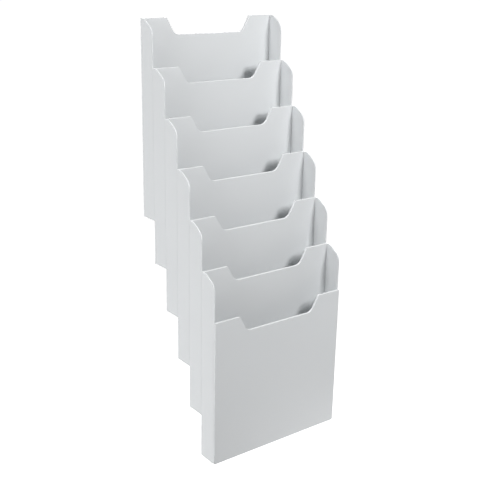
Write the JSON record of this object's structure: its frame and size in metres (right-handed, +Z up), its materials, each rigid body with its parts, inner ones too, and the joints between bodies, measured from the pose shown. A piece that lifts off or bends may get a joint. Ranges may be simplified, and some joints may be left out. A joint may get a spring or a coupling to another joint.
{
  "type": "vertical file sorter",
  "caption": "Wall-hung cascade of upright A4 document pockets in moulded grey plastic, stepped down and forward, with thumb notches and a closed front.",
  "frame": {"origin": "on the wall plane, in the middle of the top pocket's back face", "axes": "+X to the right as seen from the front, -Y to the front, away from the wall, +Z up"},
  "size_m": [0.24, 0.2223, 0.643],
  "materials": {
    "moulded_grey_plastic": "fine satin moulded grain, light cool grey",
    "rivet_plastic": "satin, mid grey",
    "zinc_plated_steel": "bright zinc plate"
  },
  "bodies": {
    "root": {"pocket_1": "moulded_grey_plastic", "pocket_2": "moulded_grey_plastic", "pocket_3": "moulded_grey_plastic", "pocket_4": "moulded_grey_plastic", "pocket_5": "moulded_grey_plastic", "pocket_6": "moulded_grey_plastic", "front_panel": "moulded_grey_plastic", "rivet_1_to_2_upper_left": "rivet_plastic", "rivet_1_to_2_upper_right": "rivet_plastic", "rivet_1_to_2_lower_left": "rivet_plastic", "rivet_1_to_2_lower_right": "rivet_plastic", "rivet_2_to_3_upper_left": "rivet_plastic", "rivet_2_to_3_upper_right": "rivet_plastic", "rivet_2_to_3_lower_left": "rivet_plastic", "rivet_2_to_3_lower_right": "rivet_plastic", "rivet_3_to_4_upper_left": "rivet_plastic", "rivet_3_to_4_upper_right": "rivet_plastic", "rivet_3_to_4_lower_left": "rivet_plastic", "rivet_3_to_4_lower_right": "rivet_plastic", "rivet_4_to_5_upper_left": "rivet_plastic", "rivet_4_to_5_upper_right": "rivet_plastic", "rivet_4_to_5_lower_left": "rivet_plastic", "rivet_4_to_5_lower_right": "rivet_plastic", "rivet_5_to_6_upper_left": "rivet_plastic", "rivet_5_to_6_upper_right": "rivet_plastic", "rivet_5_to_6_lower_left": "rivet_plastic", "rivet_5_to_6_lower_right": "rivet_plastic", "wall_screw_upper_left": "zinc_plated_steel", "wall_screw_upper_right": "zinc_plated_steel", "wall_screw_lower_left": "zinc_plated_steel", "wall_screw_lower_right": "zinc_plated_steel"}
  },
  "joints": []
}
